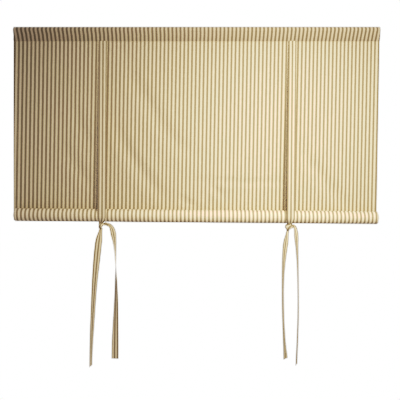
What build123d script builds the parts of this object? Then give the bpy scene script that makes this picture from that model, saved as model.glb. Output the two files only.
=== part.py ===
from build123d import *
import math
import os

# Tie-up roll blind: a flat striped cloth hangs from a rail in a sewn pocket, its lower end is rolled
# up to the front round a light rod, and two pairs of cloth tapes sling the roll and are knotted under it.
# Millimetres. X runs along the blind, -Y into the room, +Z up. The wall is the plane y = 0, and the
# origin is the middle of the four screw holes.

# Cloth
blind_width = 1000.0        # side hem to side hem
blind_drop = 1600.0         # top of the heading to the lower end, all let down
cloth_t = 0.7               # thickness of the ticking
pocket_height = 39.6        # top of the heading to the seam under the rail
seam_lap = 1.5              # the panel reaches this far up between the pocket's two plies
roll_hang = 507.5           # rail's axis down to the roll's axis, as tied
roll_tilt = 0.48            # degrees by which the roll hangs lower at +X, as the knots were tied
roll_side_inset = 7.5       # how far the rolled cloth is drawn in at each side
wall_reach = 30.0           # wall to the rail's axis

# Rail and its end plugs
rail_d = 16.0
rail_wall = 1.2
rail_inset = 12.0           # each end of the tube lies this far inside the pocket
plug_head_t = 3.0
plug_spigot = 14.0
plug_fit = 0.1              # radial clearance of a plug's spigot in its tube

# Wall brackets, each bent from one strip
strip_w = 20.0
strip_t = 2.0
strip_bend = 3.0            # inner radius where the plate turns into the arm
bracket_inset = 60.0        # side hem to the middle of a bracket
screw_d = 4.5
screw_spacing = 11.0        # between the two holes of one plate, both above the hook's tip
screw_margin = 4.8          # upper hole to the plate's top edge
rail_below_screws = 7.0     # middle of the holes down to the rail's axis
slot_side_gap = 2.0         # buttonhole slot in the pocket's back, beside the hook
slot_height = 12.0

# Rod in the middle of the roll
rod_d = 16.0
rod_wall = 1.2
rod_inset = 8.0             # end of the rolled cloth to the tube's end

# Tapes
tape_w = 22.0
tape_t = 1.2
tape_spacing = 510.0        # between the left and the right pair
leg_wrap = 40.0             # degrees short of the roll's lowest line where a tape leaves the roll
tail_w = 20.0               # the tails are a little narrower, from being pulled tight
tail_exit = 0.6             # a knot's face to the start of its tail
knot_w = 23.0
knot_d = 16.0
knot_h = 14.0
knot_edge = 4.0             # rounding of a knot
knot_hang = 26.5            # roll's axis down to a knot's middle

# Clearances
gap = 0.3                   # between soft pieces, and between the rail and what holds it
pocket_ease = 0.7           # the pocket's front hangs this far clear of the hooks

# Routes of the tails, (x, z) from the middle of their knot. Each first point is worked out from the knot.
tail_routes = {
    "outer_tail_left": [
        (-10.5, -34.6), (-15.5, -79.6), (-22.5, -154.6), (-28.5, -252.6), (-32.0, -334.6), (-33.2, -386.1),
    ],
    "inner_tail_left": [
        (17.5, -1.5), (23.5, -12.0), (27.8, -28.0), (32.4, -52.6), (35.2, -97.6), (36.6, -167.6),
        (35.6, -237.6), (34.0, -307.6), (33.4, -365.4),
    ],
    "inner_tail_right": [
        (-9.2, -34.4), (-14.8, -78.4), (-18.0, -140.4), (-18.4, -220.4), (-15.8, -296.4), (-10.6, -361.2),
    ],
    "outer_tail_right": [
        (15.4, -3.0), (17.0, -12.0), (18.6, -28.4), (20.4, -60.4), (23.3, -118.4), (23.9, -198.4),
        (22.9, -290.4), (18.9, -377.6),
    ],
}
low_exit = (-5.0, -(knot_h / 2 + tail_exit))    # out of the knot's underside
side_exit = (knot_w / 2 + tail_exit, 1.0)       # out of the knot's +X side

# Worked out from the sizes above
rail_y = -wall_reach
rail_z = -rail_below_screws
rail_r = rail_d / 2
rail_length = blind_width - 2 * rail_inset
hook_r = rail_r + gap                                   # inside of the hook
pocket_r = hook_r + strip_t + pocket_ease               # inside of the pocket
pocket_z = rail_z + hook_r - pocket_r                   # the pocket rests on the rail's top
seam_z = pocket_z + pocket_r + cloth_t - pocket_height
roll_mid_z = rail_z - roll_hang
core_r = rod_d / 2 + gap
panel_drop = seam_z - roll_mid_z
rolled_length = blind_drop - pocket_height - panel_drop
roll_r = math.sqrt(core_r**2 + cloth_t * rolled_length / math.pi)
roll_length = blind_width - 2 * roll_side_inset
rod_length = roll_length - 2 * rod_inset
bracket_x = blind_width / 2 - bracket_inset
sides = ((-1, "left"), (1, "right"))

os.makedirs("parts", exist_ok=True)


def save(shape, name):
    export_step(shape, f"parts/{name}.step")


# Turn what belongs to the roll by the small angle at which it hangs.
def tilted(shape):
    return shape.rotate(Axis((0, rail_y, roll_mid_z), (0, 1, 0)), roll_tilt)


# Height of the roll's axis at a place along the blind.
def roll_z(x):
    return roll_mid_z - x * math.tan(math.radians(roll_tilt))


# Extrude an outline drawn in (y, z) along X, evenly about middle_x.
def along_x(outline, length, middle_x=0.0):
    return Pos(middle_x, 0, 0) * extrude(Plane.YZ * outline, amount=length / 2, both=True)


# Where a straight line from a point touches a circle: side +1 passes behind it, -1 in front.
def touch_point(point, centre, radius, side):
    away = Vector(*centre) - Vector(*point)
    turn = math.degrees(math.asin(radius / away.length))
    run = math.sqrt(away.length**2 - radius**2)
    return Vector(*point) + away.normalized().rotate(Axis.Z, side * turn) * run


# ---- Rail, rod and their end plugs

def tube(diameter, wall, length, y, z):
    ring = Circle(diameter / 2) - Circle(diameter / 2 - wall)
    return along_x(Pos(y, z) * ring, length)


# A flanged head, rounded at its rim, and a spigot that goes into the tube.
def end_plug(diameter, wall, seat_x, y, z, side):
    from_seat = (Align.CENTER, Align.CENTER, Align.MIN)
    head = Cylinder(diameter / 2, plug_head_t, align=from_seat)
    head = fillet(head.edges().group_by(Axis.Z)[-1], plug_head_t / 3)
    spigot_r = diameter / 2 - wall - plug_fit
    spigot = Pos(0, 0, -plug_spigot) * Cylinder(spigot_r, plug_spigot, align=from_seat)
    return Pos(side * seat_x, y, z) * Rot(0, side * 90, 0) * (head + spigot)


save(tube(rail_d, rail_wall, rail_length, rail_y, rail_z), "head_rail")
save(tilted(tube(rod_d, rod_wall, rod_length, rail_y, roll_mid_z)), "bottom_rod")
for side, name in sides:
    save(end_plug(rail_d, rail_wall, rail_length / 2, rail_y, rail_z, side), f"rail_plug_{name}")
    plug = end_plug(rod_d, rod_wall, rod_length / 2, rail_y, roll_mid_z, side)
    save(tilted(plug), f"rod_plug_{name}")


# ---- Wall brackets: plate, arm under the rail and a quarter round up its front, all one strip

def bracket():
    bend_r = strip_bend + strip_t / 2
    cradle_r = hook_r + strip_t / 2
    arm_z = rail_z - cradle_r
    plate_y = -strip_t / 2
    plate_top = screw_spacing / 2 + screw_margin
    plate = Line((plate_y, plate_top), (plate_y, arm_z + bend_r))
    bend = TangentArc((plate_y, arm_z + bend_r), (plate_y - bend_r, arm_z), tangent=(0, -1))
    arm = Line((plate_y - bend_r, arm_z), (rail_y, arm_z))
    cradle = TangentArc((rail_y, arm_z), (rail_y - cradle_r, rail_z), tangent=(-1, 0))
    strip = along_x(trace([plate, bend, arm, cradle], strip_t), strip_w)
    for z in (-screw_spacing / 2, screw_spacing / 2):
        strip -= Pos(0, 0, z) * Rot(90, 0, 0) * Cylinder(screw_d / 2, 4 * strip_t)
    return strip


for side, name in sides:
    save(Pos(side * bracket_x, 0, 0) * bracket(), f"wall_bracket_{name}")


# ---- Cloth above the roll: the pocket round the rail, and the flat panel down to the roll's back

# A circle drawn out to a point below it, as cloth hangs round a rail.
def teardrop(radius, tip_drop):
    centre = (rail_y, pocket_z)
    tip = (rail_y, pocket_z - tip_drop)
    front = touch_point(tip, centre, radius, 1)
    back = touch_point(tip, centre, radius, -1)
    cone = make_face(Polyline(tip, (front.X, front.Y), centre, (back.X, back.Y), close=True))
    return Pos(*centre) * Circle(radius) + cone


def cloth_drop():
    outer_r = pocket_r + cloth_t
    outer_tip = pocket_z - seam_z
    inner_tip = outer_tip * pocket_r / outer_r
    pocket = teardrop(outer_r, outer_tip) - teardrop(pocket_r, inner_tip)
    seam = Vector(rail_y, seam_z)
    foot = touch_point(seam, (rail_y, roll_mid_z), roll_r + gap + cloth_t / 2, 1)
    head = seam + (seam - foot).normalized() * seam_lap
    panel = trace(Line((head.X, head.Y), (foot.X, foot.Y)), cloth_t)
    cloth = along_x(pocket + panel, blind_width)
    slot_base = rail_z - hook_r - strip_t - gap
    slot = Box(strip_w + 2 * slot_side_gap, wall_reach, slot_height, align=(Align.CENTER, Align.MIN, Align.MIN))
    for side in (-1, 1):
        cloth -= Pos(side * bracket_x, rail_y, slot_base) * slot
    return cloth


save(cloth_drop(), "cloth_drop")


# ---- Rolled cloth, its turns as one solid round the rod

save(tilted(along_x(Pos(rail_y, roll_mid_z) * (Circle(roll_r) - Circle(core_r)), roll_length)), "cloth_roll")


# ---- Knots, and the tapes above them

def knot_centre(side):
    x = side * tape_spacing / 2
    return Vector(x, rail_y, roll_z(x) - knot_hang)


# A rounded block, grown on all sides by a clearance when it is used to cut its neighbours.
def knot(side, grow=0.0):
    block = Box(knot_w + 2 * grow, knot_d + 2 * grow, knot_h + 2 * grow)
    return Pos(*knot_centre(side)) * fillet(block.edges(), knot_edge + grow)


# From the seam straight to the roll, round it, and straight on to the knot. face +1 is the tape
# behind the cloth, -1 the tape in front.
def tape_leg(side, face):
    x = side * tape_spacing / 2
    centre = (rail_y, roll_z(x))
    skin = gap if face < 0 else 2 * gap + cloth_t
    wrap_r = roll_r + skin + tape_t / 2
    top = (rail_y + face * (cloth_t / 2 + gap + tape_t / 2), seam_z)
    touch = touch_point(top, centre, wrap_r, face)
    end_angle = math.radians(-90 + face * leg_wrap)
    leave = Vector(*centre) + Vector(math.cos(end_angle), math.sin(end_angle)) * wrap_r
    meet = (rail_y, centre[1] - wrap_r / math.cos(math.radians(leg_wrap)))
    drop = Line(top, (touch.X, touch.Y))
    wrap = TangentArc((touch.X, touch.Y), (leave.X, leave.Y), tangent=drop % 1)
    tie = Line((leave.X, leave.Y), meet)
    leg = along_x(trace([drop, wrap, tie], tape_t), tape_w, x)
    return (leg - knot(side, gap)).solids().sort_by(Axis.Z)[-1]


for side, name in sides:
    save(knot(side), f"knot_{name}")
    save(tape_leg(side, -1), f"front_tape_{name}")
    save(tape_leg(side, 1), f"back_tape_{name}")


# ---- Tails below the knots: each a flat tape, edge on to the room

# Straight runs joined by tangent arcs, each as large as its two runs allow.
def tail_path(points):
    radii = []
    for before, corner, after in zip(points, points[1:], points[2:]):
        run_in = Vector(*corner) - Vector(*before)
        run_out = Vector(*after) - Vector(*corner)
        half_turn = math.radians(run_in.get_angle(run_out)) / 2
        radii.append(0.45 * min(run_in.length, run_out.length) / math.tan(half_turn))
    return FilletPolyline(*points, radius=radii), radii


def tail(name, side):
    middle = knot_centre(side)
    start = low_exit if name in ("outer_tail_left", "inner_tail_right") else side_exit
    points = [(middle.X + x, middle.Z + z) for x, z in [start] + tail_routes[name]]
    path, radii = tail_path(points)
    flat = Plane.XZ.offset(-middle.Y) * trace(path, tape_t)
    solid = extrude(flat, amount=tail_w / 2, both=True)
    share = solid.volume / (tape_t * tail_w * path.length)
    print(name, "length", round(path.length, 1), "volume / (section x length)", round(share, 3))
    print("  radii", [round(radius) for radius in radii])
    return solid


for name in tail_routes:
    save(tail(name, -1 if name.endswith("left") else 1), name)
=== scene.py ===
import math

import bpy
import numpy as np
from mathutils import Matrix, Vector


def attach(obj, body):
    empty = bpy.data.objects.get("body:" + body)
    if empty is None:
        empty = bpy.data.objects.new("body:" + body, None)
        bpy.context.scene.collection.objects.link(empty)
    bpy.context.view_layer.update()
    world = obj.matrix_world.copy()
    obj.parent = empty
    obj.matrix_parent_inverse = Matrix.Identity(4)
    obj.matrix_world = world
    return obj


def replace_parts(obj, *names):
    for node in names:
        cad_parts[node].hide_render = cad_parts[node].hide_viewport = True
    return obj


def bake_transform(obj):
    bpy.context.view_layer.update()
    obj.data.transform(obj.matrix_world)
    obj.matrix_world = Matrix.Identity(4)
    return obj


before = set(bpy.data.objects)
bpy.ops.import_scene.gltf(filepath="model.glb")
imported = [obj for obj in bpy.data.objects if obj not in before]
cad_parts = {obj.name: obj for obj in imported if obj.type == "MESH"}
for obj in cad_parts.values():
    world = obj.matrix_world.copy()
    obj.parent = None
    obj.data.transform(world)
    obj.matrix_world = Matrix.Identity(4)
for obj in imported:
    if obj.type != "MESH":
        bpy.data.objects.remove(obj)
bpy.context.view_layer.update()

# Tie-up roll blind in striped cotton ticking. Metres: X along the blind, -Y into the room, Z up,
# the wall is y = 0. Each piece has one dictionary of sizes (in millimetres) beside its code.

mm = 0.001
rolledRun = 10.0          # metres added to the cloth map's length where the cloth is rolled
tapeRun = 2.0             # and where it is made up into a tape, so that no two places share a yarn


# One channel c of a hex colour is c / 12.92 below 0.04045, else ((c + 0.055) / 1.055) to the power 2.4.
def hexLinear(code):
    channels = np.array([int(code[i:i + 2], 16) for i in (1, 3, 5)]) / 255.0
    linear = np.where(channels <= 0.04045, channels / 12.92, ((channels + 0.055) / 1.055) ** 2.4)
    return (*(float(c) for c in linear), 1.0)


# Adds a node, sets its settings, and fills its inputs: a socket or another node's first output is
# linked, and anything else is a value.
def addNode(tree, kind, inputs=None, **settings):
    node = tree.nodes.new("ShaderNode" + kind)
    for name, value in settings.items():
        setattr(node, name, value)
    for name, value in (inputs or {}).items():
        if isinstance(value, bpy.types.Node):
            value = value.outputs[0]
        if isinstance(value, bpy.types.NodeSocket):
            tree.links.new(value, node.inputs[name])
        else:
            node.inputs[name].default_value = value
    return node


def newMaterial(name):
    material = bpy.data.materials.new(name)
    material.use_nodes = True
    material.node_tree.nodes.clear()
    return material, material.node_tree


def finishMaterial(tree, shader):
    addNode(tree, "OutputMaterial", {"Surface": shader})


# outer_tail_left becomes outerTailLeft.
def pieceName(node):
    first, *rest = node.split("_")
    return first + "".join(word.title() for word in rest)


# Smooth step: 3 t^2 - 2 t^3 with t held between 0 and 1.
def smoothStep(value, low, high):
    t = np.clip((value - low) / (high - low), 0, 1)
    return t * t * (3 - 2 * t)


# Each row of vectors divided by its own length.
def unit(vectors):
    return vectors / np.maximum(np.linalg.norm(vectors, axis=-1, keepdims=True), 1e-12)


# Distance along a line of points, starting at 0.
def alongLine(points):
    return np.concatenate([[0.0], np.cumsum(np.linalg.norm(np.diff(points, axis=0), axis=1))])


# A line cut into count points at even distances along it.
def evenLine(points, count):
    run = alongLine(points)
    where = np.linspace(0, run[-1], count)
    return np.stack([np.interp(where, run, points[:, k]) for k in range(points.shape[1])], axis=1)


# A mesh object with its place in its mesh; parts are (points, faces, uv) and are put together.
def meshPiece(name, parts, material, level=0):
    points = np.concatenate([part[0] for part in parts])
    uv = np.concatenate([part[2] for part in parts])
    faces, start = [], 0
    for part in parts:
        faces += [face for block in part[1] for face in (block + start).tolist()]
        start += len(part[0])
    mesh = bpy.data.meshes.new(name)
    mesh.from_pydata(points.tolist(), [], faces)
    corner = np.empty(len(mesh.loops), np.int32)
    mesh.loops.foreach_get("vertex_index", corner)
    layer = mesh.uv_layers.new(name="clothUV")
    layer.data.foreach_set("uv", uv[corner].astype(np.float32).ravel())
    mesh.polygons.foreach_set("use_smooth", np.ones(len(mesh.polygons), bool))
    mesh.materials.append(material)
    mesh.update()
    piece = bpy.data.objects.new(name, mesh)
    bpy.context.scene.collection.objects.link(piece)
    if level:
        rounding = piece.modifiers.new("rounding", "SUBSURF")
        rounding.levels = rounding.render_levels = level
    return piece


# A ply of cloth from a grid of middle points: each point moves half the thickness both ways along
# the cross product of the grid's two directions, and every open edge is closed by a strip.
# keep is a grid of cells; a cell that is False is a hole.
def ply(grid, uv, thickness, keep=None):
    rows, cols = grid.shape[:2]
    normal = unit(np.cross(np.gradient(grid, axis=0), np.gradient(grid, axis=1)))
    front = (grid + normal * thickness / 2).reshape(-1, 3)
    back = (grid - normal * thickness / 2).reshape(-1, 3)
    index = np.arange(rows * cols).reshape(rows, cols)
    cells = np.stack([index[:-1, :-1], index[1:, :-1], index[1:, 1:], index[:-1, 1:]], axis=-1)
    cells = cells.reshape(-1, 4) if keep is None else cells[keep]
    here = cells.ravel()
    there = np.roll(cells, -1, axis=1).ravel()
    count = rows * cols
    edge = ~np.isin(here * count + there, there * count + here)
    here, there = here[edge], there[edge]
    rim = np.stack([there, here, here + count, there + count], axis=1)
    flat = uv.reshape(-1, 2)
    return (np.concatenate([front, back]), [cells, cells[:, ::-1] + count, rim], np.concatenate([flat, flat]))


# A closed bar along a line: at each step a ring of points, wide half-axis times cosine and thin
# half-axis times sine of the angle round it, both times 1 plus the ridge times the cosine of four
# times that angle. Each end is closed by a fan of triangles.
def bar(line, wide, thin, halfWide, halfThin, around, ridge, uvStart):
    steps = len(line)
    angle = np.linspace(0, 2 * math.pi, around, endpoint=False)
    halfWide = np.broadcast_to(halfWide, steps)[:, None]
    halfThin = np.broadcast_to(halfThin, steps)[:, None]
    swell = 1 + ridge * np.cos(4 * angle)[None, :]
    ring = (line[:, None] + wide[:, None] * (halfWide * np.cos(angle) * swell)[..., None]
            + thin[:, None] * (halfThin * np.sin(angle) * swell)[..., None])
    index = np.arange(steps * around).reshape(steps, around)
    after = np.roll(index, -1, axis=1)
    sides = np.stack([index[:-1], after[:-1], after[1:], index[1:]], axis=-1).reshape(-1, 4)
    handed = np.cross(wide[0], thin[0]) @ (line[1] - line[0])
    first, last = steps * around, steps * around + 1
    capA = np.stack([after[0], index[0], np.full(around, first)], axis=1)
    capB = np.stack([index[-1], after[-1], np.full(around, last)], axis=1)
    if handed < 0:
        sides, capA, capB = sides[:, ::-1], capA[:, ::-1], capB[:, ::-1]
    across = uvStart[0] + (halfWide * np.cos(angle)[None, :])
    run = uvStart[1] + alongLine(line)
    uv = np.stack([across, np.broadcast_to(run[:, None], across.shape)], axis=-1).reshape(-1, 2)
    ends = np.array([[uvStart[0], run[0]], [uvStart[0], run[-1]]])
    points = np.concatenate([ring.reshape(-1, 3), line[:1], line[-1:]])
    return points, [sides, capA, capB], np.concatenate([uv, ends])


# The smooth line of a NURBS spline with these control points, read as points.
def splineLine(points, name, resolution=14):
    curve = bpy.data.curves.new(name, "CURVE")
    curve.dimensions = "3D"
    curve.resolution_u = resolution
    spline = curve.splines.new("NURBS")
    spline.points.add(len(points) - 1)
    for place, control in zip(points, spline.points):
        control.co = (*place, 1.0)
    spline.order_u = 3
    spline.use_endpoint_u = True
    holder = bpy.data.objects.new(name, curve)
    bpy.context.scene.collection.objects.link(holder)
    bpy.context.view_layer.update()
    mesh = bpy.data.meshes.new_from_object(holder)
    line = np.array([v.co for v in mesh.vertices])
    bpy.data.objects.remove(holder)
    bpy.data.curves.remove(curve)
    bpy.data.meshes.remove(mesh)
    return line


# The camera looks straight at the wall; lens and sensor in millimetres.
view = {"place": (0.0107, -1.530, -0.4705), "lens": 49.4, "sensor": 36.0}
cameraData = bpy.data.cameras.new("camera")
cameraData.lens = view["lens"]
cameraData.sensor_width = view["sensor"]
camera = bpy.data.objects.new("camera", cameraData)
camera.location = view["place"]
camera.rotation_euler = (math.radians(90), 0, 0)
bpy.context.scene.collection.objects.link(camera)
bpy.context.scene.camera = camera
print("camera ready")


# Where the parts of the blind are.
blind = {
    "width": 1000.0,
    "clothT": 0.7,
    "railY": -30.0,
    "seamZ": -37.6,         # the heading's row of stitches
    "rollZ": -514.5,        # the roll's axis at its middle
    "rollTilt": 0.48,       # degrees, lower at +X
    "rollR": 17.5,          # middle of the outermost turn
    "rodR": 8.35,           # rod and the space round it
    "rollLength": 985.0,
    "tapeX": 255.0,         # the blind's middle to each pair of tapes
    "knotDrop": 26.5,       # roll's axis down to a knot's middle
}
railY = blind["railY"] * mm
seamZ = blind["seamZ"] * mm
halfWidth = blind["width"] * mm / 2


# Height of the roll's axis: its middle height less x times the tangent of the tilt.
def rollAxisZ(x):
    return blind["rollZ"] * mm - x * math.tan(math.radians(blind["rollTilt"]))


def knotMiddle(side):
    x = side * blind["tapeX"] * mm
    return np.array([x, railY, rollAxisZ(x) - blind["knotDrop"] * mm])


# Ticking: yarn-dyed cotton twill in cream and taupe, washed soft. It is matt, with a faint bloom
# of loose fibre at a glancing angle, fine slubs in its yarns and soft edges to its stripes.
ticking = {
    "cream": "#E6D4B4",
    "taupe": "#998970",
    "stripePitch": 10.87,   # one cream and one taupe stripe
    "taupeShare": 0.49,
    "stripePhase": -0.295,  # of a pitch
    "stripeEdge": 0.045,    # of a pitch, half the width of its soft edge
    "waver": 0.4,           # how far a stripe's edge strays each way
    "yarn": 1.3,            # real yarns are 0.4 mm apart; drawn coarser, so that they show
    "slub": 26.0,           # length of a thick place in a yarn
    "yarnHeight": 0.10,
    "weaveYarns": 1.6,      # yarns to one over and under
    "weaveShare": 0.35,     # of the height; the rest is in uneven yarns
    "yarnShade": (0.90, 1.08),
    "roughness": 0.86,
    "sheen": 0.12,
    # painted shade: light goes through a single ply, so the pocket, panel and tapes are darkened in colour to
    # look deeper than the rolled cloth, most over the rail
    "pocketPaintedShade": (0.66, 0.65, 0.66),
    "panelPaintedShade": (0.81, 0.81, 0.81),
}


def tickingMaterial():
    material, tree = newMaterial("cottonTicking")
    place = addNode(tree, "UVMap", uv_map="clothUV")
    parts = addNode(tree, "SeparateXYZ", {0: place})
    across, along = parts.outputs[0], parts.outputs[1]

    # uneven dyeing and weaving make each stripe's edge waver by a fraction of a millimetre
    waver = addNode(tree, "TexNoise", {"Vector": place, "Scale": 70.0, "Detail": 2.0})
    shift = addNode(tree, "Math", {0: waver, 1: 2 * ticking["waver"] * mm, 2: -ticking["waver"] * mm},
            operation="MULTIPLY_ADD")
    wavering = addNode(tree, "Math", {0: across, 1: shift}, operation="ADD")
    turns = addNode(tree, "Math", {0: wavering, 1: 1 / (ticking["stripePitch"] * mm),
            2: ticking["stripePhase"]}, operation="MULTIPLY_ADD")
    fold = addNode(tree, "Math", {0: turns, 1: 0.5}, operation="PINGPONG")
    half, edge = ticking["taupeShare"] / 2, ticking["stripeEdge"]
    isTaupe = addNode(tree, "MapRange", {"Value": fold, "From Min": half - edge, "From Max": half + edge,
            "To Min": 1.0, "To Max": 0.0}, interpolation_type="SMOOTHSTEP")
    stripes = addNode(tree, "Mix", {0: isTaupe, 6: hexLinear(ticking["cream"]),
            7: hexLinear(ticking["taupe"])}, data_type="RGBA")

    # warp yarns run the length of the cloth and weft yarns across it, each a little lighter or darker
    yarn, slub = 1 / (ticking["yarn"] * mm), 1 / (ticking["slub"] * mm)
    warpPlace = addNode(tree, "VectorMath", {0: place, 1: (yarn, slub, 1)}, operation="MULTIPLY")
    warp = addNode(tree, "TexNoise", {"Vector": warpPlace, "Scale": 1.0, "Detail": 1.0})
    weftPlace = addNode(tree, "VectorMath", {0: place, 1: (slub, yarn, 1)}, operation="MULTIPLY")
    weft = addNode(tree, "TexNoise", {"Vector": weftPlace, "Scale": 1.0, "Detail": 1.0})
    wash = addNode(tree, "TexNoise", {"Vector": place, "Scale": 9.0, "Detail": 3.0})
    yarns = addNode(tree, "Math", {0: warp, 1: weft}, operation="ADD")
    both = addNode(tree, "Math", {0: wash, 1: 0.10, 2: yarns}, operation="MULTIPLY_ADD")
    bright = addNode(tree, "MapRange", {"Value": both, "From Min": 0.65, "From Max": 1.45,
            "To Min": ticking["yarnShade"][0], "To Max": ticking["yarnShade"][1]})
    shaded = addNode(tree, "VectorMath", {0: stripes.outputs[2], "Scale": bright}, operation="SCALE")

    # painted shade by ply: along is below 0 in the pocket (darkest), under half of rolledRun in the panel and
    # tapes (darker), and more in the roll (not darkened)
    onPanel = addNode(tree, "MapRange", {"Value": along, "From Min": -1.5 * mm, "From Max": 0.5 * mm})
    doubled = addNode(tree, "Math", {0: along, 1: rolledRun / 2}, operation="GREATER_THAN")
    single = addNode(tree, "Mix", {0: onPanel, 6: (*ticking["pocketPaintedShade"], 1.0),
            7: (*ticking["panelPaintedShade"], 1.0)}, data_type="RGBA")
    plyPaintedShade = addNode(tree, "Mix", {0: doubled, 6: single.outputs[2], 7: (1.0, 1.0, 1.0, 1.0)},
            data_type="RGBA")
    # the stripes' colour times the painted shade of the pocket and the single ply
    tone = addNode(tree, "Mix", {0: 1.0, 6: shaded, 7: plyPaintedShade.outputs[2]}, data_type="RGBA",
            blend_type="MULTIPLY")

    # over and under: the product of one wave across the cloth and one along it
    wave = 2 * math.pi * yarn / ticking["weaveYarns"]
    acrossWave = addNode(tree, "Math", {0: across, 1: wave}, operation="MULTIPLY")
    alongWave = addNode(tree, "Math", {0: along, 1: wave}, operation="MULTIPLY")
    acrossSine = addNode(tree, "Math", {0: acrossWave}, operation="SINE")
    alongSine = addNode(tree, "Math", {0: alongWave}, operation="SINE")
    weave = addNode(tree, "Math", {0: acrossSine, 1: alongSine}, operation="MULTIPLY")
    height = addNode(tree, "Math", {0: weave, 1: ticking["weaveShare"], 2: yarns},
            operation="MULTIPLY_ADD")
    bump = addNode(tree, "Bump", {"Height": height, "Strength": 0.55,
            "Distance": ticking["yarnHeight"] * mm})
    rough = addNode(tree, "MapRange", {"Value": yarns, "From Min": 0.6, "From Max": 1.4,
            "To Min": ticking["roughness"] - 0.06, "To Max": ticking["roughness"] + 0.08})
    shader = addNode(tree, "BsdfPrincipled", {"Base Color": tone.outputs[2], "Roughness": rough,
            "Normal": bump, "Sheen Weight": ticking["sheen"], "Sheen Roughness": 0.45,
            "Specular IOR Level": 0.25})
    finishMaterial(tree, shader)
    return material


# Mercerised cotton sewing thread, two-ply: a soft gleam, with its twist as fine slanting ridges and painted
# shade in the grooves between them.
thread = {"colour": "#E4D3AE", "shade": "#CDBB93", "roughness": 0.55, "twist": 1.2}


def threadMaterial():
    material, tree = newMaterial("cottonThread")
    place = addNode(tree, "TexCoord")
    twist = addNode(tree, "TexWave", {"Vector": place.outputs["Object"],
            "Scale": 1 / (thread["twist"] * mm * 6), "Distortion": 1.0}, bands_direction="DIAGONAL")
    # painted shade: where the twist's bump is low, in its grooves, the colour goes to the darker shade
    colour = addNode(tree, "Mix", {0: twist.outputs[1], 6: hexLinear(thread["shade"]),
            7: hexLinear(thread["colour"])}, data_type="RGBA")
    bump = addNode(tree, "Bump", {"Height": twist.outputs[1], "Strength": 0.5, "Distance": 0.08 * mm})
    shader = addNode(tree, "BsdfPrincipled", {"Base Color": colour.outputs[2],
            "Roughness": thread["roughness"], "Normal": bump, "Sheen Weight": 0.1})
    finishMaterial(tree, shader)
    return material


taupeMiddle = -ticking["stripePhase"] * ticking["stripePitch"] * mm     # of the first taupe stripe
tickingCloth = tickingMaterial()
sewingThread = threadMaterial()
print("cloth and thread materials ready")


# Tails below the knots: flat tapes of folded ticking, hanging limp.
tails = {
    "width": 20.0,
    "thickness": 1.2,
    "knotW": 23.0,          # a knot's size, and the space between it and its tails
    "knotH": 14.0,
    "exitGap": 0.6,
    "gather": 9.0,          # width where a tail leaves its knot
    "spread": 38.0,         # distance over which it opens out to its whole width
    "stripeSpan": 25.4,     # width of ticking in a tape's face; its two edges are pulled in a little
    "stripeShift": {"left": -1.6, "right": -0.5},   # from a taupe stripe's middle to the tape's middle
    "steps": 110,
}
lowExit = (-5.0, -(tails["knotH"] / 2 + tails["exitGap"]))
sideExit = (tails["knotW"] / 2 + tails["exitGap"], 1.0)
# points are (x, z) from the knot's middle; turn is (distance below the knot, degrees away from flat on)
tailRoutes = {
    "outer_tail_left": {
        "side": -1, "length": 379.9,
        "points": [lowExit, (-10.5, -34.6), (-15.5, -79.6), (-22.5, -154.6), (-28.5, -252.6),
                   (-32.0, -334.6), (-33.2, -386.1)],
        "turn": [(0, 30), (22, 36), (50, 26), (80, 24), (112, 38), (155, 50), (212, 61), (267, 66),
                 (324, 74), (386, 80)],
    },
    "inner_tail_left": {
        "side": -1, "length": 372.3,
        "points": [sideExit, (18.3, 1.0), (25.5, -9.5), (29.3, -28.0), (32.8, -52.6), (35.2, -97.6),
                   (36.6, -167.6), (35.6, -237.6), (34.0, -307.6), (33.4, -365.4)],
        "turn": [(0, 18), (8, 28), (20, 48), (40, 66), (60, 80), (110, 98), (155, 116), (212, 132),
                 (267, 148), (324, 168), (366, 174)],
    },
    "inner_tail_right": {
        "side": 1, "length": 354.6,
        "points": [lowExit, (-9.2, -34.4), (-14.8, -78.4), (-18.0, -140.4), (-18.4, -220.4),
                   (-15.8, -296.4), (-10.6, -361.2)],
        "turn": [(0, 45), (24, 40), (50, 36), (85, 50), (125, 62), (180, 67), (250, 67), (292, 65),
                 (335, 60), (361, 44)],
    },
    "outer_tail_right": {
        "side": 1, "length": 380.1,
        "points": [sideExit, (15.4, -3.0), (17.0, -12.0), (18.6, -28.4), (20.4, -60.4), (23.3, -118.4),
                   (23.9, -198.4), (22.9, -290.4), (18.9, -377.6)],
        "turn": [(0, 20), (14, 32), (43, 56), (85, 66), (125, 70), (205, 72), (292, 70), (378, 68)],
    },
}


# A tape along a line: across it, each point is the line's point plus the half width times the wide
# direction, plus a shallow trough that deepens where the tape is gathered.
def tape(line, wide, width, thickness, trough, uvShift, across=11, uvRun=0.0):
    place = np.linspace(-1, 1, across)
    forward = unit(np.gradient(line, axis=0))
    face = unit(np.cross(forward, wide))
    width = np.broadcast_to(width, len(line))[:, None, None]
    trough = np.broadcast_to(trough, len(line))[:, None, None]
    bend = (place**2 - 0.4)[None, :, None]
    grid = (line[:, None] + wide[:, None] * width / 2 * place[None, :, None]
            + face[:, None] * trough * bend)
    run = alongLine(line) + uvRun
    u = place * tails["stripeSpan"] * mm / 2 + uvShift
    uv = np.stack(np.broadcast_arrays(u[None, :], run[:, None]), axis=-1)
    return ply(grid, uv, thickness)


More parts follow.
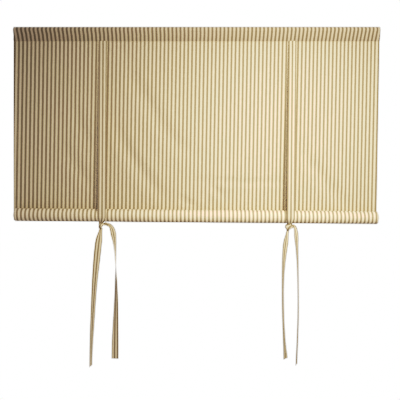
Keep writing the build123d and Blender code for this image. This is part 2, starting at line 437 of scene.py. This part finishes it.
# A tail follows its spline, turned about it by its list of angles, and opens out below its knot.
def tailPiece(name, route):
    middle = knotMiddle(route["side"])
    points = [(middle[0] + x * mm, middle[1], middle[2] + z * mm) for x, z in route["points"]]
    path = evenLine(splineLine(points, name + "_route"), tails["steps"])
    below, degrees = np.array(route["turn"], float).T
    depth = (middle[2] - path[:, 2]) / mm
    turn = np.radians(np.interp(depth, below, degrees))
    turn = np.convolve(np.pad(turn, 6, mode="edge"), np.ones(13) / 13, mode="valid")
    forward = unit(np.gradient(path, axis=0))
    flatOn = np.stack([-forward[:, 2], np.zeros(len(path)), forward[:, 0]], axis=1)
    wide = unit(flatOn * np.cos(turn)[:, None] + np.array([0, 1.0, 0]) * np.sin(turn)[:, None])
    run = alongLine(path) / mm
    opened = smoothStep(run, 0, tails["spread"])
    width = (tails["gather"] + (tails["width"] - tails["gather"]) * opened) * mm
    trough = (3.2 - 2.4 * opened + 0.5 * np.sin(run / 31)) * mm
    shift = taupeMiddle + tails["stripeShift"]["left" if route["side"] < 0 else "right"] * mm
    part = tape(path, wide, width, tails["thickness"] * mm, trough, shift, uvRun=tapeRun + 0.6)
    piece = meshPiece(pieceName(name), [part], tickingCloth, level=1)
    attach(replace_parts(piece, name), "sling")


for name, route in tailRoutes.items():
    tailPiece(name, route)
print("tails ready")


# Cloth above the roll: the pocket round the rail, and the panel down to the roll's back.
drop = {
    "columns": 230,
    "panelRows": 110,
    "hemTuck": 6.0,         # turned-under end of the pocket, above the seam
    "hemBelow": 3.0,        # how far the pocket's hem reaches below its stitches
    "plyGap": 0.76,         # between the middles of two plies sewn together
    "pocketR": 10.95,       # middle of the cloth round the rail and the hooks
    "pocketZ": -9.3,
    "hang": 1.1,            # how far the straight plies of the pocket belly out
    "pocketSteps": 96,      # points in the pocket's section
    "hemWide": 12.0,        # side hem, turned to the back
    # side edges of the cloth: at the pocket, just under the seam, and at the roll
    "edges": {"pocket": (-496.5, 500.5), "seam": (-498.8, 501.2), "roll": (-504.5, 498.5)},
    "bracketX": 440.0,
    "slotWide": 24.0,
    "slotLow": -17.6,       # the bracket slot's lower and upper edge
    "slotHigh": -5.6,
    "pucker": 0.35,         # small waves that the seam's stitches draw in
    "puckerPitch": 23.0,
}

# Soft folds of the panel: lines of (x, z), with how deep and how wide each is, all in millimetres.
folds = [
    {"line": [(-194, -64), (-172, -138), (-131, -206), (-90, -274), (-35, -330), (6, -352)],
     "deep": 3.2, "wide": 16},
    {"line": [(-228, -234), (-200, -310), (-168, -366), (-127, -420), (-77, -476)], "deep": 3.6, "wide": 14},
    {"line": [(-332, -206), (-318, -270), (-291, -324)], "deep": 2.6, "wide": 13},
    {"line": [(-352, -338), (-325, -384), (-292, -434)], "deep": 2.8, "wide": 13},
    {"line": [(-49, -462), (-20, -478), (6, -494)], "deep": 2.0, "wide": 9},
    {"line": [(39, -426), (60, -444), (81, -462)], "deep": 2.0, "wide": 9},
    {"line": [(284, -324), (329, -384), (379, -448), (426, -490)], "deep": 3.2, "wide": 15},
    {"line": [(-20, -418), (39, -416), (136, -422), (288, -418)], "deep": 1.4, "wide": 8},
    {"line": [(-262, -40), (-248, -52), (-235, -70)], "deep": 1.8, "wide": 6},
]


# Depth of the folds at (x, z): for each, its depth times a bell curve of the distance to its line,
# less half as deep a bell twice as wide, fading to nothing at its two ends.
def foldDepth(x, z):
    steps = 60
    depth = np.zeros_like(x)
    for fold in folds:
        away = np.full(x.shape, np.inf)
        place = np.zeros(x.shape)
        for step, (px, pz) in enumerate(evenLine(np.array(fold["line"], float) * mm, steps)):
            here = (x - px) ** 2 + (z - pz) ** 2
            near = here < away
            away = np.where(near, here, away)
            place = np.where(near, step / (steps - 1), place)
        wide = fold["wide"] * mm
        bell = np.exp(-away / (2 * wide**2)) - 0.5 * np.exp(-away / (8 * wide**2))
        depth += fold["deep"] * mm * 2 * bell * np.sin(math.pi * np.clip(place, 0.04, 0.96)) ** 0.7
    return depth


# How far the cloth's stripes are drawn sideways at a share of the width: a half wave over the width,
# less a drift that grows down the panel and is larger at the left, with a small pull at each edge.
def stripeDraw(x, down):
    share = np.clip(x / (2 * halfWidth) + 0.5, 0, 1)
    return (8.2 * np.sin(math.pi * share**0.8) - down * (7.2 - 5.4 * share) - 2.2 * share**6
            - 2.0 * share**12 + 1.2 * (1 - share)**6 - 0.9) * mm


# Where a thread that lies at x in the flat cloth hangs: its share of the width between the two
# side edges, which run from the pocket's to the seam's over the pocket's front, then to the roll's.
def sideDraw(x, down):
    share = x / (2 * halfWidth) + 0.5
    pocket, seam, foot = (np.array(drop["edges"][key]) * mm for key in ("pocket", "seam", "roll"))
    upper = smoothStep(down, -20 * mm, 0)
    lower = np.clip(down, 0, 1)
    left, right = (pocket[k] + (seam[k] - pocket[k]) * upper + (foot[k] - seam[k]) * lower for k in (0, 1))
    return left + (right - left) * share


# The panel at x in the flat cloth, down from 0 at the seam to 1 at the roll: a straight fall to the
# line where it touches the roll's outermost turn from behind, plus the folds and a faint ripple.
def panelPlace(x, down):
    axis = rollAxisZ(x)
    radius = blind["rollR"] * mm
    tilt = np.arcsin(radius / (seamZ - axis))
    z = seamZ + (axis + radius * np.sin(tilt) - seamZ) * down
    settle = smoothStep(down, 0.0, 0.05) * smoothStep(1 - down, 0.0, 0.06)
    ripple = 0.5 * mm * np.sin(x * 21 + 3 * z) * np.sin(z * 9 + 1)
    y = railY + radius * np.cos(tilt) * down + (foldDepth(x, z) + ripple) * settle
    return np.stack([sideDraw(x, down), y, z], axis=-1)


# The pocket is one section carried along the blind: a circle round the rail met by two straight runs
# from the seam, each bellied out by a half sine, with the turned-under end between them.
def dropPiece():
    fallWay = unit(np.array([blind["rollR"], blind["rollZ"] - blind["seamZ"]]) * mm)
    out = np.array([-fallWay[1], fallWay[0]])
    seam = np.array([railY, seamZ])
    gap = drop["plyGap"] * mm
    turn = np.linspace(0, math.pi, 7)[1:-1, None]
    low = seam + fallWay * drop["hemBelow"] * mm
    bend = low + out * gap * (1.5 - 0.5 * np.cos(turn)) + fallWay * gap / 2 * np.sin(turn)
    tuck = [seam + out * gap - fallWay * drop["hemTuck"] * mm, seam + out * gap, low + out * gap]
    after = [low + out * 2 * gap, seam + out * 2 * gap]
    # a circle round the rail, met by a straight run from the seam on each side
    centre, radius = np.array([railY, drop["pocketZ"] * mm]), drop["pocketR"] * mm
    spared = math.acos(radius / (centre[1] - seamZ))
    arc = np.linspace(-math.pi / 2 + spared, 1.5 * math.pi - spared, 60)
    arc = centre + radius * np.stack([np.cos(arc), np.sin(arc)], axis=1)
    belly = np.linspace(0, 1, 14)[1:-1, None]
    hang = drop["hang"] * mm * np.sin(math.pi * belly)
    up = after[1] + (arc[0] - after[1]) * belly + np.array([1.0, 0]) * hang
    fall = arc[-1] + (seam - arc[-1]) * belly - np.array([1.0, 0]) * hang
    section = np.concatenate([tuck, bend, after, up, arc, fall, [seam]])
    count = drop["pocketSteps"]
    smooth = evenLine(section, 5 * count)
    for _ in range(2):      # two passes of a running mean of nine points ease its corners
        core = np.stack([np.convolve(np.pad(smooth[:, k], 4, mode="edge"), np.ones(9) / 9, mode="valid")
                         for k in (0, 1)], axis=1)
        smooth[1:-1] = core[1:-1]
    section = evenLine(smooth, count)
    pocketRun = alongLine(section)

    # one column of points is moved to each side edge of the two slots
    x = np.linspace(-halfWidth, halfWidth, drop["columns"])
    for side in (-1, 1):
        for end in (-1, 1):
            edge = side * drop["bracketX"] * mm + end * drop["slotWide"] * mm / 2
            x[np.argmin(abs(x - edge))] = edge
    down = np.linspace(0, 1, drop["panelRows"])[1:]

    wideX, wideDown = np.meshgrid(x, down)
    panel = panelPlace(wideX, wideDown)

    pocketY = np.repeat(section[:, :1], len(x), axis=1)
    pocketZ = np.repeat(section[:, 1:], len(x), axis=1)
    # puckers: a wave along the seam, uneven in pitch and height, that a bell curve fades out above it
    aboveSeam = pocketRun[-1] - pocketRun
    near = (np.exp(-(aboveSeam / (9 * mm)) ** 2) * smoothStep(aboveSeam, 0, 3 * mm))[:, None]
    wave = np.sin(x * 2 * math.pi / (drop["puckerPitch"] * mm) + 2 * np.sin(x * 31))
    pocketY = pocketY + drop["pucker"] * mm * (wave * (0.6 + 0.4 * np.sin(x * 17)))[None] * near

    pocketX = sideDraw(x[None], -aboveSeam[:, None])
    grid = np.concatenate([np.stack([pocketX, pocketY, pocketZ], axis=-1), panel])
    panelLength = math.hypot(blind["rollR"] * mm, seamZ - blind["rollZ"] * mm)
    along = np.concatenate([-aboveSeam, down * panelLength])
    fraction = np.concatenate([np.zeros(count), down])
    # over the pocket the stripes lean outward, towards the two ends of the rail
    lean = (5.0 * (x / (2 * halfWidth) + 0.5) - 2.7) * mm
    climbed = np.concatenate([np.clip(aboveSeam / (18 * mm), 0, 1.8), 0 * down])
    u = x[None] - stripeDraw(x[None], fraction[:, None]) - lean[None] * climbed[:, None]
    uv = np.stack(np.broadcast_arrays(u, along[:, None]), axis=-1)

    # the two slots in the pocket's back that the brackets reach through
    keep = np.ones((len(grid) - 1, len(x) - 1), bool)
    middleX = (x[1:] + x[:-1]) / 2
    middleY = (section[1:, 0] + section[:-1, 0]) / 2
    middleZ = (section[1:, 1] + section[:-1, 1]) / 2
    rows = (middleY > railY + 8 * mm) & (middleZ > drop["slotLow"] * mm) & (middleZ < drop["slotHigh"] * mm)
    for side in (-1, 1):
        cols = abs(middleX - side * drop["bracketX"] * mm) < drop["slotWide"] * mm / 2
        keep[:count - 1][np.ix_(rows, cols)] = False
    part = ply(grid, uv, blind["clothT"] * mm, keep)

    # side hems: the cloth's edge turned to the back, seen there as a second ply
    hems = []
    for side in (-1, 1):
        inner = np.linspace(0, drop["hemWide"] * mm, 5)
        hemX, hemDown = np.meshgrid((side * (halfWidth - inner))[::side], down[2:-1])
        hemGrid = panelPlace(hemX, hemDown) + np.array([0, gap, 0])
        hemUv = np.stack([hemX + 3 * mm, hemDown * panelLength], axis=-1)
        hems.append(ply(hemGrid, hemUv, blind["clothT"] * mm))
    piece = meshPiece("clothDrop", [part, *hems], tickingCloth)
    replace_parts(piece, "cloth_drop")
    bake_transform(piece)


dropPiece()
print("cloth above the roll ready")


# The rolled cloth: one spiral from the panel's foot inward to the rod.
roll = {
    "turnPitch": 0.6715,    # between the middles of two turns
    "thickness": 0.62,      # pressed a little thinner by the roll's own tension
    "columns": 230,
    "around": 72,           # points in the outermost turn
    "innerAround": 34,      # and in each turn inside it
    "innerColumns": 9,
    "dents": 0.25,          # soft unevenness of the outermost turn
    "edgeDrift": 1.1,       # how far the turns' edges stray from each other at the ends
    "edgeReach": 40,        # the higher, the nearer to the ends that straying stays
}


# Middle line of the spiral at angle a from the foot, going down and to the front: its radius is the
# outermost one less the pitch for each turn.
def spiral(angle, x, radiusAdd):
    tilt = math.asin(blind["rollR"] / (blind["seamZ"] - blind["rollZ"]))
    radius = (blind["rollR"] - roll["turnPitch"] * angle / (2 * math.pi)) * mm + radiusAdd
    y = railY + radius * np.cos(tilt - angle)
    z = rollAxisZ(x) + radius * np.sin(tilt - angle)
    return y, z, radius


# The turns from the outermost one in to the rod; those inside have fewer points.
def rollPiece():
    innermost = blind["rodR"] + roll["thickness"] / 2
    turns = (blind["rollR"] - innermost) / roll["turnPitch"]
    half = blind["rollLength"] * mm / 2

    # the turns between a first and a last angle: points, place across the cloth and length along it
    def block(angle, columns):
        x = np.linspace(-half, half, columns)[None] + 0 * angle[:, None]
        ends = (np.abs(x) / half) ** roll["edgeReach"] * np.sign(x)
        stray = roll["edgeDrift"] * mm * (np.sin(1.7 * angle) + 0.6 * np.sin(0.83 * angle + 1))[:, None]
        outer = smoothStep(angle, 0, 1.2) * smoothStep(2 * math.pi - angle, 0, 1.2)
        dent = (np.sin(x * 11 + 1.3 * angle[:, None]) + 0.7 * np.sin(x * 27 - 2 * angle[:, None] + 2)
                + 0.5 * np.sin(x * 53 + angle[:, None] * 3)) * roll["dents"] * mm / 2
        y, z, radius = spiral(angle[:, None], x, dent * outer[:, None])
        grid = np.stack([x + ends * stray, y, z], axis=-1)
        around = np.concatenate([[0], np.cumsum(np.diff(angle) * (radius[1:, 0] + radius[:-1, 0]) / 2)])
        # the stripes slip sideways as they come round to the front, most at the two ends
        share = x / (2 * halfWidth) + 0.5
        slip = (12.1 * (share - 0.42) ** 2 + 1.5 * share - 3.2 - 2.6 * (1 - share) ** 1.2) * mm
        slip = slip * smoothStep(angle, 0, 2.5)[:, None]
        return grid, x - stripeDraw(x, 1.0) - slip, around

    angleOut = np.linspace(0, 2 * math.pi, roll["around"])
    gridOut, uOut, runOut = block(angleOut, roll["columns"])
    angleIn = np.linspace(2 * math.pi, turns * 2 * math.pi, int(roll["innerAround"] * (turns - 1)))
    gridIn, uIn, runIn = block(angleIn, roll["innerColumns"])
    parts = []
    for grid, u, run in ((gridOut, uOut, runOut + rolledRun), (gridIn, uIn, runIn + runOut[-1] + rolledRun)):
        uv = np.stack(np.broadcast_arrays(u, run[:, None]), axis=-1)
        parts.append(ply(grid, uv, roll["thickness"] * mm))
    piece = meshPiece("clothRoll", parts, tickingCloth)
    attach(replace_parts(piece, "cloth_roll"), "roll")


rollPiece()
print("roll ready")


# Tapes above the knots: sewn in at the seam, down over the cloth, round the roll to the knot.
legs = {
    "width": 22.0,
    "thickness": 1.2,
    "skin": 0.65,           # clear space between cloth and tape
    "wrapShort": 40.0,      # degrees short of the roll's lowest line where the tape leaves it
    "gatherRun": 26.0,      # length over which a tape narrows into its knot
    "gathered": 9.0,
    "topShift": {"left": 0.0, "right": 8.0},     # how far to the side the front tape is sewn in
    "knotShift": {"left": -4.5, "right": 0.0},   # and how far both are drawn aside into the knot
    "steps": 170,
}


# A tape's leg, at the front of the cloth (face -1) or behind it (face 1): a straight fall from the seam
# to where it touches the roll, an arc round the roll, and a straight run into the knot.
def legPiece(side, face):
    name = "left" if side < 0 else "right"
    middle = knotMiddle(side)
    half = legs["thickness"] * mm / 2
    clothHalf = blind["clothT"] * mm / 2
    wrap = blind["rollR"] * mm + clothHalf + legs["skin"] * mm + half
    wrap += blind["clothT"] * mm if face > 0 else 0
    axis = np.array([railY, middle[2] + blind["knotDrop"] * mm])
    off = clothHalf + legs["skin"] * mm + half + (2 * drop["plyGap"] * mm if face > 0 else 0)
    top = np.array([railY + face * off, seamZ + 1.5 * mm])
    away = axis - top
    long = np.linalg.norm(away)
    turn = math.asin(wrap / long)
    spin = np.array([[math.cos(turn), -face * math.sin(turn)], [face * math.sin(turn), math.cos(turn)]])
    touch = top + spin @ (away / long) * math.sqrt(long**2 - wrap**2)
    begin = math.atan2(touch[1] - axis[1], touch[0] - axis[0])
    if face < 0 and begin < 0:
        begin += 2 * math.pi
    end = math.radians(-90 + face * legs["wrapShort"])
    if face < 0:
        end += 2 * math.pi
    angle = np.linspace(begin, end, 30)
    arc = axis + wrap * np.stack([np.cos(angle), np.sin(angle)], axis=1)
    into = np.array([railY + face * 3 * mm, middle[2] + 4 * mm])
    line = np.concatenate([np.linspace(top, touch, 90)[:-1], arc, np.linspace(arc[-1], into, 12)[1:]])
    run = alongLine(line)
    total = run[-1]
    sew = legs["topShift"][name] if face < 0 else 0
    x = (middle[0] + sew * mm * (1 - run / total)
         + legs["knotShift"][name] * mm * (1 - smoothStep(total - run, 0, legs["gatherRun"] * mm)))
    path = evenLine(np.column_stack([x, line]), legs["steps"])
    run = alongLine(path)
    narrow = smoothStep(run[-1] - run, 0, legs["gatherRun"] * mm)
    width = (legs["gathered"] + (legs["width"] - legs["gathered"]) * narrow) * mm
    forward = unit(np.gradient(path, axis=0))
    wide = np.broadcast_to([1.0, 0, 0], path.shape)
    wide = unit(wide - forward * (wide * forward).sum(axis=1, keepdims=True))
    trough = (1 - narrow) * 2.6 * mm
    part = tape(path, wide, width, legs["thickness"] * mm, trough,
                taupeMiddle + tails["stripeShift"][name] * mm, uvRun=tapeRun)
    word = "front" if face < 0 else "back"
    piece = meshPiece(f"{word}Tape{name.title()}", [part], tickingCloth)
    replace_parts(piece, f"{word}_tape_{name}")
    return piece, path


legPaths = {}
for side in (-1, 1):
    for face in (-1, 1):
        piece, legPaths[side, face] = legPiece(side, face)
        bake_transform(piece)
print("tapes ready")


# Knots: each a half knot of the two gathered tapes, one round the other.
knots = {
    "halfWide": 4.5,        # half a strand's width and thickness
    "halfThin": 2.3,
    "steps": 44,
    "around": 20,
    "ridge": 0.16,          # a strand's folded corners stand out by this share
    # (x, y, z) from the knot's middle, a strand from each tape: the front tape goes round the left side
    # and behind to the tail at the right, the back tape over the front and down to the tail at the left
    "left": [
        [(-5.0, -7.5, 6.0), (-7.8, -6.0, 4.0), (-8.6, -2.0, 0.5), (-5.0, 3.5, -1.5), (-1.0, 1.5, 2.8),
         (6.0, -2.0, 3.4), (10.5, -1.5, 3.2), (13.8, 0.0, 1.2)],
        [(-4.0, 7.5, 6.0), (-1.0, 2.0, 4.0), (-3.0, -6.0, 2.4), (-6.2, -6.2, -2.5), (-6.6, -3.5, -6.5),
         (-5.4, -0.5, -9.5)],
    ],
    "right": [
        [(1.5, -7.5, 5.8), (-5.0, -5.5, 4.8), (-10.5, -3.5, 2.0), (-8.0, 0.5, -5.5), (0.5, 3.5, -6.5),
         (6.5, 2.5, -1.5), (9.0, 0.5, 3.0), (13.8, 0.0, 1.2)],
        [(4.5, 7.5, 5.8), (6.5, 1.5, 4.2), (4.5, -6.0, 3.0), (-0.5, -7.2, -0.5), (-4.0, -5.0, -5.5),
         (-5.4, -0.5, -9.5)],
    ],
}


# A strand is a bar along its spline, thinner at its two ends by 0.18 times a cosine.
def knotStrand(side, controls, name):
    middle = knotMiddle(side)
    line = splineLine([tuple(middle + np.array(point) * mm) for point in controls], name)
    path = evenLine(line, knots["steps"])
    forward = unit(np.gradient(path, axis=0))
    # a strand faces out of the knot, and turns flat to the front where it becomes a tail
    turned = smoothStep(np.linspace(0, 1, len(path)), 0.55, 0.9)[:, None]
    outward = unit(path - middle) * (1 - turned) + np.array([0, -1.0, 0]) * turned
    thin = unit(outward - forward * (outward * forward).sum(axis=1, keepdims=True))
    wide = unit(np.cross(thin, forward))
    swell = 1 - 0.18 * np.cos(np.linspace(0, 2 * math.pi, len(path)))
    return bar(path, wide, thin, knots["halfWide"] * mm * swell, knots["halfThin"] * mm,
               knots["around"], knots["ridge"], uvStart=(taupeMiddle, tapeRun + 0.5))


for side in (-1, 1):
    name = "left" if side < 0 else "right"
    parts = [knotStrand(side, controls, f"strand{name.title()}") for controls in knots[name]]
    piece = meshPiece(f"knot{name.title()}", parts, tickingCloth, level=1)
    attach(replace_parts(piece, f"knot_{name}"), "sling")
print("knots ready")


# Stitches: short loops of thread that dip into the cloth at their two ends.
stitches = {
    "pitch": 3.0,
    "length": 2.3,
    "radius": 0.24,         # half the thread's thickness
    "rise": 0.18,           # how far a stitch's middle stands off the cloth
    "hemInset": 10.0,       # the cloth's side edge in to its hem's row
    "boxInset": 2.4,        # the tape's edge in to its box of stitches
    "boxHeight": 11.0,
    "boxPitch": 0.8,        # the box's stitches are smaller by this factor
    "rings": 5,
    "around": 6,
}


# A row of stitches along a line with a direction that faces out of the cloth: at each, rings of points
# whose radius is that of the thread times the root of 1 - 0.85 (2t)^2, t from -1/2 to 1/2, and whose
# middle rises by 1 - (2t)^2. size is a factor on the stitches' pitch and length.
def stitchRow(line, outward, size=1.0):
    pitch, length = stitches["pitch"] * size, stitches["length"] * size
    count = max(int(alongLine(line)[-1] / (pitch * mm)), 1)
    places = evenLine(line, count + 1)
    middle = (places[1:] + places[:-1]) / 2
    ahead = unit(places[1:] - places[:-1])
    outward = unit(np.broadcast_to(outward, middle.shape))
    beside = np.cross(ahead, outward)
    rings, around = stitches["rings"], stitches["around"]
    t = np.linspace(-0.5, 0.5, rings)
    angle = np.linspace(0, 2 * math.pi, around, endpoint=False)
    radius = stitches["radius"] * mm * np.sqrt(1 - 0.85 * (2 * t) ** 2)
    rise = (stitches["rise"] * (1 - (2 * t) ** 2) - 0.1) * mm
    points = (middle[:, None, None] + ahead[:, None, None] * (t * length * mm)[None, :, None, None]
              + beside[:, None, None] * (radius[:, None] * np.cos(angle))[None, :, :, None]
              + outward[:, None, None] * (radius[:, None] * np.sin(angle) + rise[:, None])[None, :, :, None])
    index = np.arange(rings * around).reshape(rings, around)
    after = np.roll(index, -1, axis=1)
    sides = np.stack([index[:-1], index[1:], after[1:], after[:-1]], axis=-1).reshape(-1, 4)
    caps = np.stack([index[0], index[-1, ::-1]])
    start = np.arange(len(middle))[:, None, None] * rings * around
    blocks = [(sides[None] + start).reshape(-1, 4), (caps[None] + start).reshape(-1, around)]
    points = points.reshape(-1, 3)
    return points, blocks, points[:, ::2]


def stitchPiece():
    rows = []
    front, back = np.array([0, -1.0, 0]), np.array([0, 1.0, 0])
    skin = (blind["clothT"] / 2) * mm
    # the heading seam, on both faces, and the two side hems
    across = np.linspace(-halfWidth + 2 * mm, halfWidth - 2 * mm, 400)
    seamLine = panelPlace(across, 0 * across)
    rows.append(stitchRow(seamLine + front * skin, front))
    rows.append(stitchRow(seamLine + back * (skin + 2 * drop["plyGap"] * mm), back))
    down = np.linspace(0.012, 0.955, 300)
    for side in (-1, 1):
        hem = panelPlace(side * (halfWidth - stitches["hemInset"] * mm) + 0 * down, down)
        rows.append(stitchRow(hem + front * skin, front))
        rows.append(stitchRow(hem + back * (skin + drop["plyGap"] * mm), back))
    # a box of stitches that holds each front tape just under the seam
    half = (legs["width"] / 2 - stitches["boxInset"]) * mm
    for side in (-1, 1):
        path = legPaths[side, -1]
        low = np.interp(stitches["boxHeight"] * mm, alongLine(path), np.arange(len(path)))
        top, foot = path[2], path[int(round(low))]
        proud = front * legs["thickness"] * mm / 2
        corner = [top - [half, 0, 0], top + [half, 0, 0], foot + [half, 0, 0], foot - [half, 0, 0]]
        for here, there in zip(corner, corner[1:] + corner[:1]):
            rows.append(stitchRow(np.array([here, there]) + proud, front, stitches["boxPitch"]))
    return meshPiece("stitches", rows, sewingThread)


sewn = stitchPiece()
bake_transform(sewn)
print("stitches ready")


# The rail, rod, plugs and brackets keep their CAD shape and get a finish on Object coordinates.
def dress(node, material):
    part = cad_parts[node]
    if not part.material_slots:
        part.data.materials.append(None)
    for place in part.material_slots:
        place.link = "OBJECT"
        place.material = material


# Low-carbon steel, powder coated white and stoved: a satin skin with a fine orange peel.
def powderCoat(name, colour, roughness):
    material, tree = newMaterial(name)
    place = addNode(tree, "TexCoord")
    peel = addNode(tree, "TexNoise", {"Vector": place.outputs["Object"], "Scale": 620.0, "Detail": 2.0})
    cloud = addNode(tree, "TexNoise", {"Vector": place.outputs["Object"], "Scale": 34.0, "Detail": 4.0})
    shade = addNode(tree, "MapRange", {"Value": cloud, "To Min": 0.93, "To Max": 1.03})
    colourNode = addNode(tree, "VectorMath", {0: hexLinear(colour)[:3], "Scale": shade},
            operation="SCALE")
    rough = addNode(tree, "MapRange", {"Value": cloud, "To Min": roughness - 0.08,
            "To Max": roughness + 0.1})
    bump = addNode(tree, "Bump", {"Height": peel, "Strength": 0.4, "Distance": 0.05 * mm})
    shader = addNode(tree, "BsdfPrincipled", {"Base Color": colourNode, "Roughness": rough,
            "Normal": bump})
    finishMaterial(tree, shader)
    return material


# Extruded aluminium tube, left as it comes from the die: fine lines along its length, dull silver.
def extrudedAluminium():
    material, tree = newMaterial("extrudedAluminium")
    place = addNode(tree, "TexCoord")
    stretched = addNode(tree, "VectorMath", {0: place.outputs["Object"], 1: (4.0, 1500.0, 1500.0)},
            operation="MULTIPLY")
    lines = addNode(tree, "TexNoise", {"Vector": stretched, "Scale": 1.0, "Detail": 2.0})
    colour = addNode(tree, "Mix", {0: lines, 6: hexLinear("#B9BCBE"), 7: hexLinear("#D9DBDC")},
            data_type="RGBA")
    rough = addNode(tree, "MapRange", {"Value": lines, "To Min": 0.30, "To Max": 0.52})
    bump = addNode(tree, "Bump", {"Height": lines, "Strength": 0.3, "Distance": 0.02 * mm})
    shader = addNode(tree, "BsdfPrincipled", {"Base Color": colour.outputs[2], "Metallic": 1.0,
            "Roughness": rough, "Normal": bump})
    finishMaterial(tree, shader)
    return material


# Injection-moulded polypropylene: a little waxy, with a very fine spark-eroded grain.
def mouldedPlastic():
    material, tree = newMaterial("mouldedPolypropylene")
    place = addNode(tree, "TexCoord")
    grain = addNode(tree, "TexNoise", {"Vector": place.outputs["Object"], "Scale": 1100.0, "Detail": 1.0})
    shade = addNode(tree, "Mix", {0: grain, 6: hexLinear("#DAD7D0"), 7: hexLinear("#E8E6E1")},
            data_type="RGBA")
    rough = addNode(tree, "MapRange", {"Value": grain, "To Min": 0.38, "To Max": 0.5})
    bump = addNode(tree, "Bump", {"Height": grain, "Strength": 0.35, "Distance": 0.03 * mm})
    shader = addNode(tree, "BsdfPrincipled", {"Base Color": shade.outputs[2], "Roughness": rough,
            "Normal": bump, "Subsurface Weight": 0.05, "Subsurface Radius": (0.002, 0.002, 0.002)})
    finishMaterial(tree, shader)
    return material


bracketCoat = powderCoat("powderCoatedSteel", "#EFEDE7", 0.42)
railCoat = powderCoat("powderCoatedRail", "#E6E3DC", 0.48)
aluminium, plastic = extrudedAluminium(), mouldedPlastic()
for side in ("left", "right"):
    dress(f"wall_bracket_{side}", bracketCoat)
    dress(f"rail_plug_{side}", plastic)
    dress(f"rod_plug_{side}", plastic)
dress("head_rail", railCoat)
dress("bottom_rod", aluminium)
print("rail, rod and brackets dressed")


# Studio: soft lights, a white surround and a pale floor well below the blind.
studio = {
    # the key's grid keeps it off the blind's left side; the back light is there for looks from behind
    "key": {"place": (0.378, -1.198, 0.109), "aim": (0.206, 0.0, -0.401), "size": 0.66, "spread": 66.0,
            "watts": 3.85, "colour": (1.0, 0.975, 0.82)},
    "back": {"place": (0.5, 1.7, -0.15), "aim": (0.0, 0.0, -0.35), "size": 1.2, "spread": 60.0,
             "watts": 6.0, "colour": (1.0, 0.98, 0.94)},
    "surroundColour": (0.88, 0.87, 1.0),
    "surround": 0.345,      # strength of its light; the camera sees it plain white
    "floorZ": -1.30,
    "floorColour": "#ECEAE6",
    # a print-like tone curve, as (linear value in, linear value out)
    "toneCurve": [(0, 0), (0.035, 0.018), (0.126, 0.118), (0.25, 0.325), (0.42, 0.555), (0.65, 0.755),
                  (0.867, 0.862), (1, 1)],
}


# A square soft box that the camera does not see.
def softBox(name, light):
    data = bpy.data.lights.new(name, "AREA")
    data.shape = "SQUARE"
    data.size = light["size"]
    data.spread = math.radians(light["spread"])
    data.energy = light["watts"]
    data.color = light["colour"]
    lamp = bpy.data.objects.new(name, data)
    lamp.location = light["place"]
    lamp.rotation_euler = (Vector(light["aim"]) - Vector(light["place"])).to_track_quat("-Z", "Y").to_euler()
    lamp.visible_camera = False
    bpy.context.scene.collection.objects.link(lamp)


softBox("keyLight", studio["key"])
softBox("backLight", studio["back"])

world = bpy.data.worlds.new("whiteStudio")
bpy.context.scene.world = world
world.use_nodes = True
world.node_tree.nodes.clear()
ray = addNode(world.node_tree, "LightPath")
dim = addNode(world.node_tree, "Background", {"Color": (*studio["surroundColour"], 1),
        "Strength": studio["surround"]})
white = addNode(world.node_tree, "Background", {"Color": (1, 1, 1, 1), "Strength": 1.0})
either = addNode(world.node_tree, "MixShader", {0: ray.outputs["Is Camera Ray"], 1: dim, 2: white})
addNode(world.node_tree, "OutputWorld", {"Surface": either})

toning = bpy.context.scene.view_settings
toning.view_transform = "Standard"
toning.use_curve_mapping = True
curve = toning.curve_mapping.curves[3]      # the combined curve
for place, point in zip(studio["toneCurve"], curve.points):
    point.location = place
for place in studio["toneCurve"][len(curve.points):]:
    curve.points.new(*place)
curve.points[0].location, curve.points[-1].location = studio["toneCurve"][0], studio["toneCurve"][-1]
toning.curve_mapping.update()
print("lights and tone curve ready")

floorMaterial, floorTree = newMaterial("paleFloor")
finishMaterial(floorTree, addNode(floorTree, "BsdfPrincipled",
        {"Base Color": hexLinear(studio["floorColour"]), "Roughness": 0.9}))
floorMesh = bpy.data.meshes.new("floor")
floorCorners = [(-1.7, -2.2), (1.7, -2.2), (1.7, 0.55), (-1.7, 0.55)]
floorMesh.from_pydata([(x, y, studio["floorZ"]) for x, y in floorCorners], [], [(0, 1, 2, 3)])
floorMesh.materials.append(floorMaterial)
floor = bpy.data.objects.new("floor", floorMesh)
bpy.context.scene.collection.objects.link(floor)
print("studio ready")
